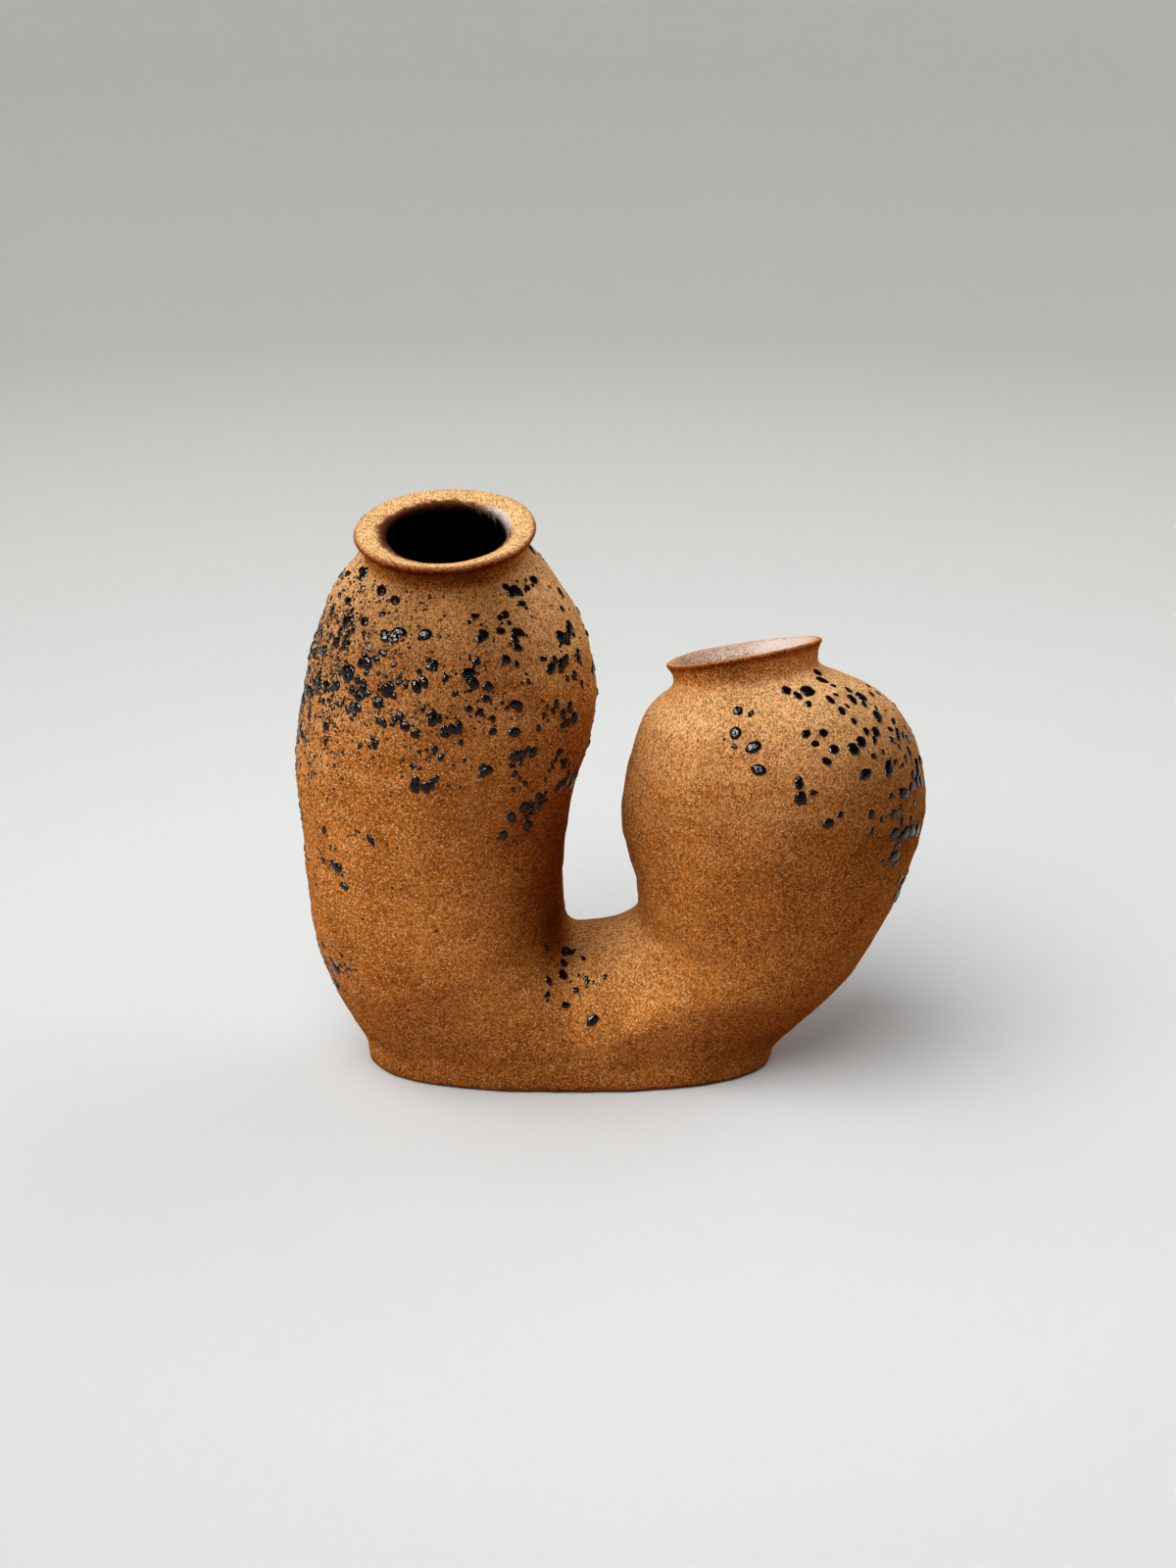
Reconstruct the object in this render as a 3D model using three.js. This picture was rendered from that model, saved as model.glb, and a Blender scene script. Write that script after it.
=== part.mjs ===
// A hand-built stoneware vase with two arms: a tall jar and a short, round jar that were
// luted together at the hips on one oval foot, so that both share the same water.
//
// Millimetres, +Z up. The origin is the middle of the foot's underside, +X runs towards
// the short jar and +Y towards the back. Every clay piece is a closed wall of its own, and
// neighbours meet on the very same ring of points, as scored and slipped clay does.

import * as THREE from "three";

// Foot: an oval slab, blunter at its ends than an ellipse
const FOOT_LENGTH = 150;
const FOOT_DEPTH = 66;
const FOOT_THICKNESS = 8;
const FOOT_BLUNTNESS = 2.4;
const FOOT_EDGE_ROUND = 2.5;

// Clay walls and the joints between courses
const WALL = 7;
const SCARF_RISE = 3; // a course laps this far down the outside of the one below it
const NECK_LEVELS = 2; // a neck's rings over the shoulder's: its slope and its top

// The hips, alike where they meet
const HIP_RISE = 54;
const HIP_DEPTH = 90;
const FLANK_LEAN = 12; // degrees that the wall leans outwards along the foot's flanks

// The seam between the two hips: an arch over the passage that joins the jars inside
const SEAM_OFFSET = 3;
const SADDLE_HEIGHT = 50.5;
const ARCH_BLUNTNESS = 2.3; // 2 is a half ellipse
const ARCH_CLIMB = 72; // degrees by which the hip's flow lines climb at the arch's feet
const CLIMB_FADE = 1.5; // how fast that climb dies away towards the saddle
const END_FOCUS = 4; // how closely the wall's lean at the foot's ends keeps to the ends
const HIP_FULLNESS = 0.34; // how far the flow lines keep their first and last directions

// The rims' rolled lips, in degrees round the lip's edge
const LIP_UNDERCUT = 60;
const LIP_TOP = 100;

// Sizes of each jar, from the hip upwards. A ring's rise is counted from the ring below it,
// and its reach is how far its middle lies from the foot's middle, away from the twin.
const TALL_JAR = {
  side: "left",
  seam: SEAM_OFFSET,
  hip: { rise: HIP_RISE, reach: 47, width: 92, depth: HIP_DEPTH },
  endLean: 34, // degrees that the wall leans outwards at the foot's end
  courses: {
    waist: { rise: 34, reach: 48.8, width: 95.4, depth: 93 },
    belly: { rise: 36, reach: 44, width: 104.6, depth: 99 },
    shoulder: { rise: 34, reach: 41.6, width: 94, depth: 91 },
  },
  neck: { slope: { rise: 18, reach: 42, width: 77 }, rise: 12, reach: 42.6, width: 58 },
  rim: { rise: 8, width: 63.5, lip: 2.6, dish: 3.9, throat: 42.4 },
  tilt: { back: 11, twin: 2 }, // degrees that the mouth rises towards the back and the twin
};
const ROUND_JAR = {
  side: "right",
  seam: -SEAM_OFFSET,
  hip: { rise: HIP_RISE, reach: 70, width: 91, depth: HIP_DEPTH },
  endLean: 50,
  courses: {
    belly: { rise: 42, reach: 73, width: 109.6, depth: 101 },
    shoulder: { rise: 30, reach: 72, width: 91, depth: 88 },
  },
  neck: { slope: { rise: 10, reach: 68, width: 69 }, rise: 6.5, reach: 62.4, width: 51 },
  rim: { rise: 7, width: 55.6, lip: 2, dish: 4.4, throat: 36 },
  tilt: { back: 12, twin: -9.4 },
};

// How finely the walls are divided
const GIRTH_STEPS = 42;
const ARCH_STEPS = 12; // of the girth, the even number that faces the twin
const FOOT_STEPS = GIRTH_STEPS - ARCH_STEPS;
const HIP_STEPS = 8;
const COURSE_STEPS = 5;
const NECK_STEPS = 3; // between two of the neck's rings
const LIP_STEPS = 4;
const EDGE_STEPS = 3;

// Bare clay, toasted a little lighter at the rims and darker at the foot
const BODY_COLOUR = 0xa8683a;
const RIM_COLOUR = 0xb5723f;
const FOOT_COLOUR = 0x8f5630;
const CLAY_ROUGHNESS = 0.92;

const UP = new THREE.Vector3(0, 0, 1);
const TO_TWIN = new THREE.Vector3(1, 0, 0);

// Closed geometry through a list of rings that all have the same number of points. With
// closed set, the last ring joins the first, as on a hollow wall; otherwise the two end
// rings are filled. Facing bands of neighbours share one diagonal, so they fit exactly.
function ringGeometry(rings, closed) {
  const count = rings[0].length;
  const points = rings.flat();
  const faces = [];
  const at = (ring, i) => (ring % rings.length) * count + (i % count);
  const bands = closed ? rings.length : rings.length - 1;
  for (let r = 0; r < bands; r += 1) {
    for (let i = 0; i < count; i += 1) {
      const [a, b, c, d] = [at(r, i), at(r, i + 1), at(r + 1, i + 1), at(r + 1, i)];
      if (r === rings.length - 1) faces.push(a, b, d, b, c, d);
      else faces.push(a, b, c, a, c, d);
    }
  }
  if (!closed) {
    for (const [ring, turn] of [[0, -1], [rings.length - 1, 1]]) {
      const middle = points.length;
      points.push(new THREE.Vector3().addVectors(rings[ring][0], rings[ring][count / 2]).multiplyScalar(0.5));
      for (let i = 0; i < count; i += 1) {
        const [a, b] = [at(ring, i), at(ring, i + 1)];
        faces.push(middle, turn > 0 ? a : b, turn > 0 ? b : a);
      }
    }
  }
  return new THREE.BufferGeometry().setFromPoints(points).setIndex(faces);
}

function piece(name, geometry, color) {
  geometry.computeVertexNormals();
  const material = new THREE.MeshStandardMaterial({ color, roughness: CLAY_ROUGHNESS, metalness: 0 });
  const mesh = new THREE.Mesh(geometry, material);
  mesh.name = name;
  return mesh;
}

// A hollow wall between an outer and an inner skin, each a list of rings from bottom to top
function wallGeometry(outer, inner) {
  return ringGeometry([...outer, ...inner.toReversed()], true);
}

// The foot's outline from the point above the given x at the back, round the far end and
// back to the same x at the front
function footSide(fromX, inset, height) {
  const length = FOOT_LENGTH / 2 - inset;
  const depth = FOOT_DEPTH / 2 - inset;
  const power = 2 / FOOT_BLUNTNESS;
  const start = Math.acos(Math.sign(fromX) * (Math.abs(fromX) / length) ** (1 / power));
  const fineSteps = 8 * FOOT_STEPS;
  const fine = Array.from({ length: fineSteps + 1 }, (_, i) => {
    const turn = start + ((2 * Math.PI - 2 * start) * i) / fineSteps;
    const [c, s] = [Math.cos(turn), Math.sin(turn)];
    return new THREE.Vector3(
      length * Math.sign(c) * Math.abs(c) ** power,
      depth * Math.sign(s) * Math.abs(s) ** power,
      height,
    );
  });
  return new THREE.CatmullRomCurve3(fine).getSpacedPoints(FOOT_STEPS);
}

// Half of the seam's arch, from its foot up to the saddle: points and the way the arch runs there
function archSide(footY, saddleZ) {
  const steps = ARCH_STEPS / 2;
  const power = 2 / ARCH_BLUNTNESS;
  const points = Array.from({ length: steps + 1 }, (_, i) => {
    const turn = (Math.PI / 2) * (i / steps);
    const rise = (saddleZ - FOOT_THICKNESS) * Math.sin(turn) ** power;
    return new THREE.Vector3(0, footY * Math.cos(turn) ** power, FOOT_THICKNESS + rise);
  });
  const arch = new THREE.CatmullRomCurve3(points);
  return points.map(({ y, z }, i) => ({ y, z, along: arch.getTangent(i / steps), share: i / steps }));
}

// One jar, in a frame where its twin lies towards +X
function makeJar(jar) {
  const group = new THREE.Group();
  const girth = Array.from(
    { length: GIRTH_STEPS },
    (_, i) => ((i - ARCH_STEPS / 2) / GIRTH_STEPS) * 2 * Math.PI,
  );
  const mouthTilt = new THREE.Euler(
    THREE.MathUtils.degToRad(jar.tilt.back),
    -THREE.MathUtils.degToRad(jar.tilt.twin),
    0,
  );

  // An oval ring of the girth's points, lifted along its own axis, which has a share of the tilt
  function ring(centre, width, depth, lift, tiltShare) {
    const tilt = new THREE.Euler(mouthTilt.x * tiltShare, mouthTilt.y * tiltShare, 0);
    return girth.map((turn) =>
      new THREE.Vector3((width / 2) * Math.cos(turn), (depth / 2) * Math.sin(turn), lift)
        .applyEuler(tilt)
        .add(centre),
    );
  }

  // The stack of rings that the arm's skin runs through, each with its height
  const stack = [];
  let height = FOOT_THICKNESS;
  for (const size of [jar.hip, ...Object.values(jar.courses), jar.neck.slope, jar.neck]) {
    height += size.rise;
    stack.push({ ...size, depth: size.depth ?? size.width, height });
  }
  const neckTop = stack.at(-1);

  // How far a ring lies over its level, from the number of levels that it lies above the
  // shoulder. The outside lies lower than the inside, so that a course laps down the outside
  // of the one below, but the scarf turns over at the neck, where it would run along the wall.
  function lift(inset, above) {
    const scarf = SCARF_RISE * THREE.MathUtils.clamp(-above, -1, 1);
    return (inset > 0 ? scarf : 0) - SCARF_RISE / 2;
  }

  function skin(inset) {
    return stack.map((size, level) => {
      const above = level - (stack.length - 1 - NECK_LEVELS);
      const tiltShare = Math.max(0, above) / NECK_LEVELS;
      const centre = new THREE.Vector3(-size.reach, 0, size.height);
      return ring(centre, size.width - 2 * inset, size.depth - 2 * inset, lift(inset, above), tiltShare);
    });
  }
  const skins = [0, WALL].map(skin);
  const flow = skins.map((rings) =>
    girth.map((_, i) => new THREE.CatmullRomCurve3(rings.map((points) => points[i]))),
  );

  // The rings of a skin between two of the stack's levels
  function rings(side, from, to, steps) {
    return Array.from({ length: steps + 1 }, (_, k) =>
      flow[side].map((curve) => curve.getPoint((from + ((to - from) * k) / steps) / (stack.length - 1))),
    );
  }

  // The loop that a hip starts from: up one foot of the arch, over the saddle and down the
  // other, then round the foot's outline. Each point has the direction its wall leaves in.
  function hipLoop(inset) {
    const outline = footSide(jar.seam, inset, FOOT_THICKNESS);
    const half = archSide(outline[0].y, SADDLE_HEIGHT - inset);
    const archPoint = (p, side) => {
      const climb = THREE.MathUtils.degToRad(ARCH_CLIMB) * (1 - p.share) ** CLIMB_FADE;
      const along = new THREE.Vector3(0, side * p.along.y, p.along.z);
      const flowing = along.multiplyScalar(Math.sin(climb)).addScaledVector(TO_TWIN, -Math.cos(climb));
      return { point: new THREE.Vector3(jar.seam, side * p.y, p.z), flowing };
    };
    const front = half.map((p) => archPoint(p, -1));
    const back = half.map((p) => archPoint(p, 1)).reverse();
    const round = outline.slice(1, -1).map((point, i) => {
      const share = (i + 1) / FOOT_STEPS;
      const end = Math.sin(Math.PI * share);
      const flankLean = FLANK_LEAN * Math.min(1, 2 * end);
      const leanDegrees = THREE.MathUtils.lerp(flankLean, jar.endLean, end ** END_FOCUS);
      const lean = THREE.MathUtils.degToRad(leanDegrees);
      const ahead = new THREE.Vector3().subVectors(outline[i + 2], outline[i]).normalize();
      const outwards = new THREE.Vector3().crossVectors(ahead, UP);
      const nearArch = (1 - Math.min(share, 1 - share) * 2) ** END_FOCUS;
      const slide = THREE.MathUtils.degToRad(90 - ARCH_CLIMB) * nearArch * (share < 0.5 ? 1 : -1);
      const flowing = outwards.multiplyScalar(Math.sin(lean)).addScaledVector(UP, Math.cos(lean));
      return { point, flowing: flowing.addScaledVector(ahead, Math.tan(slide)).normalize() };
    });
    return [...front, ...back.slice(1), ...round];
  }

  // The hip's skin: from each point of the loop a flow line runs up into the arm's own
  function hipSkin(side) {
    const lines = hipLoop(side * WALL).map(({ point, flowing }, i) => {
      const end = flow[side][i].getPoint(0);
      const arriving = flow[side][i].getTangent(0);
      const handle = HIP_FULLNESS * point.distanceTo(end);
      return new THREE.CubicBezierCurve3(
        point,
        point.clone().addScaledVector(flowing, handle),
        end.clone().addScaledVector(arriving, -handle),
        end,
      );
    });
    return Array.from({ length: HIP_STEPS + 1 }, (_, k) => lines.map((line) => line.getPoint(k / HIP_STEPS)));
  }

  // The rim: out from the neck, round the lip, down the dish and into the throat
  function rimRings() {
    const { rise, width, lip, dish, throat } = jar.rim;
    const lipRound = lip / 2;
    const foot = new THREE.Vector3(-neckTop.reach, 0, neckTop.height);
    const [neckOutside, neckInside] = [0, WALL].map(
      (inset) => new THREE.Vector2(neckTop.width / 2 - inset, lift(inset, NECK_LEVELS)),
    );
    const throatEdge = new THREE.Vector2(throat / 2, rise - dish);
    const [under, over] = [-LIP_UNDERCUT, LIP_TOP].map(THREE.MathUtils.degToRad);
    const lipCentre = new THREE.Vector2(width / 2 - lipRound, rise - lipRound);
    const lipEdge = new THREE.EllipseCurve(lipCentre.x, lipCentre.y, lipRound, lipRound, under, over);
    const [lipUnder, lipOver] = [lipEdge.getPoint(0), lipEdge.getPoint(1)];
    const flareFrom = new THREE.Vector2(neckOutside.x, lipUnder.y - (lipUnder.x - neckOutside.x));
    const outside = new THREE.QuadraticBezierCurve(neckOutside, flareFrom, lipUnder);
    const inside = new THREE.CubicBezierCurve(
      lipOver,
      new THREE.Vector2((lipOver.x + throatEdge.x) / 2, lipOver.y),
      new THREE.Vector2(throatEdge.x, (lipOver.y + throatEdge.y) / 2),
      throatEdge,
    );
    const profile = [
      ...outside.getPoints(NECK_STEPS).slice(0, -1),
      ...lipEdge.getPoints(LIP_STEPS),
      ...inside.getPoints(LIP_STEPS).slice(1),
      neckInside,
    ];
    return profile.map(({ x, y }) => ring(foot, 2 * x, 2 * x, y, 1));
  }

  const add = (name, geometry, color) => group.add(piece(`${jar.side}_${name}`, geometry, color));
  add("hip", wallGeometry(hipSkin(0), hipSkin(1)), BODY_COLOUR);
  const courseNames = Object.keys(jar.courses);
  courseNames.forEach((name, level) => {
    const [outer, inner] = [0, 1].map((side) => rings(side, level, level + 1, COURSE_STEPS));
    add(name, wallGeometry(outer, inner), BODY_COLOUR);
  });
  const neckFrom = courseNames.length;
  const neckTo = neckFrom + NECK_LEVELS;
  const [outer, inner] = [0, 1].map((side) => rings(side, neckFrom, neckTo, NECK_LEVELS * NECK_STEPS));
  add("neck", wallGeometry(outer, inner), BODY_COLOUR);
  add("rim", ringGeometry(rimRings(), true), RIM_COLOUR);
  return group;
}

// The foot slab: its lower edge is rounded, and its top carries the hips' walls round the floor
function makeFoot() {
  const outline = (inset, height) => {
    const underTallJar = footSide(TALL_JAR.seam, inset, height).slice(1);
    const underRoundJar = footSide(ROUND_JAR.seam, inset, height).slice(1);
    return [...underTallJar, ...underRoundJar.map(({ x, y, z }) => new THREE.Vector3(-x, -y, z))];
  };
  const rounded = Array.from({ length: EDGE_STEPS + 1 }, (_, i) => {
    const turn = (Math.PI / 2) * (i / EDGE_STEPS);
    return outline(FOOT_EDGE_ROUND * (1 - Math.sin(turn)), FOOT_EDGE_ROUND * (1 - Math.cos(turn)));
  });
  const top = [outline(0, FOOT_THICKNESS), outline(WALL, FOOT_THICKNESS)];
  return piece("foot_slab", ringGeometry([...rounded, ...top], false), FOOT_COLOUR);
}

const vase = new THREE.Group();
vase.name = "two_armed_vase";
vase.add(makeFoot());
vase.add(makeJar(TALL_JAR));
const roundJar = makeJar(ROUND_JAR);
roundJar.rotation.z = Math.PI; // each jar faces its twin
vase.add(roundJar);

export default vase;
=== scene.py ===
# %% [markdown]
# # A two-armed stoneware vase
# The imported model holds the vase as its potter built it: a foot slab, two hips and the courses,
# necks and rims above them, each a closed solid. This lesson gives those solids the skin of the
# fired pot. It starts by loading the solids.

import math

import bmesh
import bpy
import numpy as np
from mathutils import Matrix, Vector


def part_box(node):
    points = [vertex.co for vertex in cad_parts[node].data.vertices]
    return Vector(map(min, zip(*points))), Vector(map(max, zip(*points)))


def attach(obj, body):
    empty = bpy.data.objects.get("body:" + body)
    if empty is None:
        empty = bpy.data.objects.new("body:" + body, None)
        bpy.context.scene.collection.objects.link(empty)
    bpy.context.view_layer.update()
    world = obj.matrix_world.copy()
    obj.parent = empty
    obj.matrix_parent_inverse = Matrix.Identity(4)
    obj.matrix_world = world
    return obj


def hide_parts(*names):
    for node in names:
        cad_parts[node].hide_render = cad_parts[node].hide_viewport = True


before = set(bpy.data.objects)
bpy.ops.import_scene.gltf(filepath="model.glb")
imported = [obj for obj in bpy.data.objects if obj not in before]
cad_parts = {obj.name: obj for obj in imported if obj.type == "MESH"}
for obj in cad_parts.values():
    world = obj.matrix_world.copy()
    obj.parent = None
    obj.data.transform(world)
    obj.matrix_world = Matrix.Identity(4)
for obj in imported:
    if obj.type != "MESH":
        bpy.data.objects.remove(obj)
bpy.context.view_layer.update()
MM = 0.001
node_names = sorted(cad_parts)

# %% [markdown]
# ## Helpers for every node tree
# Geometry and material trees are built the same way here: a node is added, its settings are
# set, and each of its inputs gets a value or a link. Colours are written as sRGB hex, as a
# paint chart gives them, and one function turns them into the linear numbers that shaders use.
# New materials and objects are also made in one place each.


# %% Helpers for node trees, colours, materials and objects
def set_inputs(tree, node, inputs):
    """Sets a node's inputs. inputs maps a socket's name or number to a value or another node's socket."""
    for socket, value in inputs.items():
        if isinstance(value, bpy.types.NodeSocket):
            tree.links.new(value, node.inputs[socket])
        else:
            node.inputs[socket].default_value = value


def add_node(tree, kind, inputs=None, ramp=(), **settings):
    """Adds a node with its settings and inputs. ramp lists the stops of a colour ramp, each by
    its place and sRGB colour."""
    node = tree.nodes.new(kind)
    for name, value in settings.items():
        setattr(node, name, value)
    set_inputs(tree, node, inputs or {})
    for number, (place, hex_colour) in enumerate(ramp):
        stops = node.color_ramp.elements
        stop = stops[number] if number < len(stops) else stops.new(place)
        stop.position = place
        stop.color = linear(hex_colour)
    return node


def linear(hex_colour):
    """An sRGB colour such as "a8683a" as linear RGBA."""
    channels = [int(hex_colour[i:i + 2], 16) / 255 for i in (0, 2, 4)]
    return [c / 12.92 if c <= 0.04045 else ((c + 0.055) / 1.055) ** 2.4 for c in channels] + [1]


def new_material(name):
    """A new material with its node tree and its shader."""
    material = bpy.data.materials.new(name)
    material.use_nodes = True
    return material, material.node_tree, material.node_tree.nodes["Principled BSDF"]


def add_object(name, data):
    """A new object in the scene, at the origin, unturned and unscaled."""
    thing = bpy.data.objects.new(name, data)
    bpy.context.scene.collection.objects.link(thing)
    return thing


print("mid clay in linear light:", [round(c, 3) for c in linear("a8683a")])

# %% [markdown]
# ## One skin from twelve solids
# On the real pot the joints were scored, slipped and smoothed away, so the fired surface runs
# on without a line. Dressing each solid by itself would leave a crease at every joint. So
# copies of all the solids are welded into one mesh, and the faces inside the joints, whose
# points belong to two solids, are taken out. What is left is one closed skin, outside and
# inside, in which each face still remembers its solid by its material number. Its triangles
# are paired into quads, which a subdivision rounds more evenly.

# %% Weld copies of the solids
WELD = 0.002 * MM


def corner_key(point):
    """A point to a hundredth of a millimetre, the same for all the solids that share it."""
    return tuple(round(c / MM, 2) for c in point)


owners = {}
welded = bmesh.new()
for number, name in enumerate(node_names):
    known = len(welded.faces)
    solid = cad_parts[name].data
    welded.from_mesh(solid)
    welded.faces.ensure_lookup_table()
    for face in welded.faces[known:]:
        face.material_index = number
    for vertex in solid.vertices:
        owners.setdefault(corner_key(vertex.co), set()).add(name)
bmesh.ops.remove_doubles(welded, verts=welded.verts, dist=WELD)
print(len(welded.verts), "points in the welded skin")

# %% Open the joints, and pair the triangles
QUAD_BEND, QUAD_SKEW = math.radians(50), math.radians(60)  # most that a pair may bend and skew


def in_joint(vertex):
    return len(owners.get(corner_key(vertex.co), ())) > 1


joint_faces = [face for face in welded.faces if all(in_joint(v) for v in face.verts)]
bmesh.ops.delete(welded, geom=joint_faces, context="FACES")
bmesh.ops.join_triangles(
    welded, faces=welded.faces, cmp_materials=True,
    angle_face_threshold=QUAD_BEND, angle_shape_threshold=QUAD_SKEW,
)
quads = sum(len(face.verts) == 4 for face in welded.faces)
open_edges = sum(not edge.is_manifold for edge in welded.edges)
print(len(joint_faces), "joint faces out,", quads, "quads of", len(welded.faces), "faces,",
      open_edges, "open edges")

# %% [markdown]
# ## Where the glaze lining starts
# Inside, the vase was rinsed with a thin glaze that runs over the throats and dies away on
# the flares of the rims. Numbers on the points tell the material about it. The first, lining,
# is 0 on bare clay and 1 where the glaze is whole. The inside is found by walking over the
# skin from a point that surely lies outside, without crossing a rim, and on the rims the
# number follows the distance from the mouth's own axis. The second is 1 where the shade in the
# throat is painted in as near-black colour, at the throat and below. The third, poured, says
# how thick it lies: the rinse was poured out over one side of each mouth and stayed thick
# there. The fourth, edge, marks the lips and the foot's lower edge, which fire redder and are
# also made darker as painted shade. The fifth, lip, says how far out a point lies on its rim.
# By it the lips, soft as they were, are bent up or down a little, and later made wavy. The
# last, inner, is 1 on the inside of the walls, so that the inside can follow the outside when
# that is shaped.

# %% Find the mouths, and the outside of the skin
# "dark from" and "dark to" say where, in from the throat, the throat's painted shade begins and is whole
RIMS = {
    # turns are degrees round the mouth from the front; a bend is a turn and how far the lip rises there
    "left_rim": {
        "throat": 21.2 * MM, "fade": 5.5 * MM, "dark from": -1.4 * MM, "dark to": 2.0 * MM,
        "pour turn": 118, "pour narrowness": 9, "thinnest": -0.2, "thickest": 1.0,
        "bends": ((180, -1.8 * MM),),
    },
    "right_rim": {
        "throat": 18 * MM, "fade": 18 * MM, "dark from": 8 * MM, "dark to": 30 * MM,
        "pour turn": 100, "pour narrowness": 1, "thinnest": 0.45, "thickest": 0.9,
        "bends": ((10, 1.75 * MM), (180, -0.5 * MM)),
    },
}
BEND_NARROWNESS = 2
NUMBERS = ("lining", "deep", "poured", "edge", "lip", "inner")


def mouth_axis(rim):
    """Middle and direction of a rim, from the spread of its points."""
    points = np.array([vertex.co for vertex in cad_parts[rim].data.vertices])
    middle = (points.min(0) + points.max(0)) / 2
    _, _, directions = np.linalg.svd(points - points.mean(0), full_matrices=False)
    axis = directions[2] * np.sign(directions[2][2])
    return Vector(middle), Vector(axis)


for label in NUMBERS:
    welded.verts.layers.float.new(label)
mouths = {rim: mouth_axis(rim) for rim in RIMS}
rim_points = {rim: set() for rim in RIMS}
for face in welded.faces:
    owner = node_names[face.material_index]
    if owner in RIMS:
        rim_points[owner].update(face.verts)
start = min(welded.verts, key=lambda v: v.co.z)
outside, waiting = {start}, [start]
while waiting:
    for face in waiting.pop().link_faces:
        if node_names[face.material_index] not in RIMS:
            fresh = [v for v in face.verts if v not in outside]
            outside.update(fresh)
            waiting.extend(fresh)
print(len(outside), "points outside of", len(welded.verts))

# %% Mark the foot's edge, and sort the other points by their mouth
FOOT_EDGE = 3.5 * MM


def share(value):
    """A value kept between 0 and 1."""
    return min(1, max(0, value))


lining, deep, poured, edge, lip, inner = (welded.verts.layers.float[label] for label in NUMBERS)
welded.normal_update()
# the foot's lower edge: redder, and darker as a painted contact shadow along the floor
for vertex in outside:
    vertex[edge] = share(1 - vertex.co.z / FOOT_EDGE)
by_rim = {rim: [] for rim in RIMS}
for vertex in set(welded.verts) - outside:
    by_rim[min(RIMS, key=lambda rim: (vertex.co - mouths[rim][0]).length)].append(vertex)
print({rim: len(found) for rim, found in by_rim.items()}, "points by their mouth")

# %% Mark the lining and the lips, and bend the lips
LIP_EDGE = 1.6 * MM
THROAT_MARGIN = 0.3 * MM
SECTOR = math.radians(15)  # the lip's reach is measured by sectors, since a rim is never quite round


def lobe(turn, degrees, narrowness):
    """1 at one turn round a mouth, falling to 0 at the opposite one."""
    return ((1 + math.cos(turn - math.radians(degrees))) / 2) ** narrowness


for rim, flare in RIMS.items():
    middle, axis = mouths[rim]
    spokes = {vertex: vertex.co - middle for vertex in by_rim[rim]}
    rises = {vertex: spoke.dot(axis) for vertex, spoke in spokes.items()}
    reaches = {vertex: (spoke - axis * rises[vertex]).length for vertex, spoke in spokes.items()}
    turns = {vertex: math.atan2(spoke.x, -spoke.y) for vertex, spoke in spokes.items()}
    widest = {}
    for vertex in rim_points[rim] & set(spokes):
        sector = round(turns[vertex] / SECTOR)
        widest[sector] = max(reaches[vertex], widest.get(sector, 0))
    throat = flare["throat"] + THROAT_MARGIN
    throat_rise = max(rises[v] for v in spokes if reaches[v] < throat)
    for vertex, spoke in spokes.items():
        in_pour = lobe(turns[vertex], flare["pour turn"], flare["pour narrowness"])
        vertex[poured] = flare["thinnest"] + (flare["thickest"] - flare["thinnest"]) * in_pour
        vertex[lining] = vertex[inner] = 1
        inwards = throat_rise - rises[vertex]
        outwards = (spoke - axis * rises[vertex]).normalized()
        # 1 where the rim faces up or to its axis, 0 where it faces away
        inside = share(0.5 + vertex.normal.dot(axis) - vertex.normal.dot(outwards) / 2)
        in_throat = inside > 0.5 and (inwards > 0 or reaches[vertex] < throat)
        if vertex in rim_points[rim] and not in_throat:
            inwards = flare["throat"] - reaches[vertex]
            from_lip = widest[round(turns[vertex] / SECTOR)] - reaches[vertex]
            vertex[inner] = inside
            # the lips: redder, and darker as painted shade under the lips
            vertex[edge] = share(1 - from_lip / LIP_EDGE)
            vertex[lip] = share(inwards / (inwards - from_lip))
            vertex[lining] = inside * share(1 + inwards / flare["fade"]) * (1 - vertex[edge])
            for degrees, height in flare["bends"]:
                vertex.co += axis * height * vertex[lip] * lobe(turns[vertex], degrees, BEND_NARROWNESS)
        # painted shade: near-black inside the throat, from where the rim's dark begins
        vertex[deep] = share((inwards - flare["dark from"]) / (flare["dark to"] - flare["dark from"]))
print(sum(v[lining] > 0.5 for v in welded.verts), "points under the lining,",
      sum(v[edge] > 0.5 for v in welded.verts), "on thin edges")

# %% [markdown]
# ## Grogged stoneware
# The body is stoneware with crushed, fired clay in it, called grog. It was wiped with a wet
# sponge, which washes the fine clay away and leaves the grog standing. Fired without glaze it
# is matt and feels like sandpaper. The eye gets pale grains about half a millimetre apart, dark
# pits between them, broad uneven patches and now and then a black pin of iron; a few glints are
# painted into the colour as bright specks. Where the shoulders and rims face up and stand high,
# the colour is painted paler, as painted top light. The lips and the foot's lower edge are
# tinted redder and darker, partly as painted shade. The cells of a Voronoi texture are the
# grains: each cell's random numbers say whether it is a pale grain, a pit, a painted glint or
# plain clay. The same cells and the sand between them give the bump.

# %% Grogged stoneware: the fired colour
CLAY_PATCH = 24  # mm
FLAME_DRAW = (1, 1, 0.45)  # squeezes the height, so that the patches are drawn out upwards as flames are
CLAY_TONES = ((0.33, "bb6f2c"), (0.68, "d5883e"))
# painted light: the pale tone of faces that look up, standing in for light from above
PAINTED_TOP_LIGHT_TONE = "f2bc80"
TOP_LIGHT_FROM, TOP_LIGHT_TO = 20, 100  # mm above the foot, over which the painted top light grows
SHADE_AND_EDGE_TINTS = {"toast": "957b59", "edge": "ba8c6a"}  # what a number on the points multiplies the colour by: painted shade in patches, and the edges' redder tint, partly painted shade
MIX_A, MIX_B, MIX_OUT = 6, 7, 2  # the colour sockets of a Mix node


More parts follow.
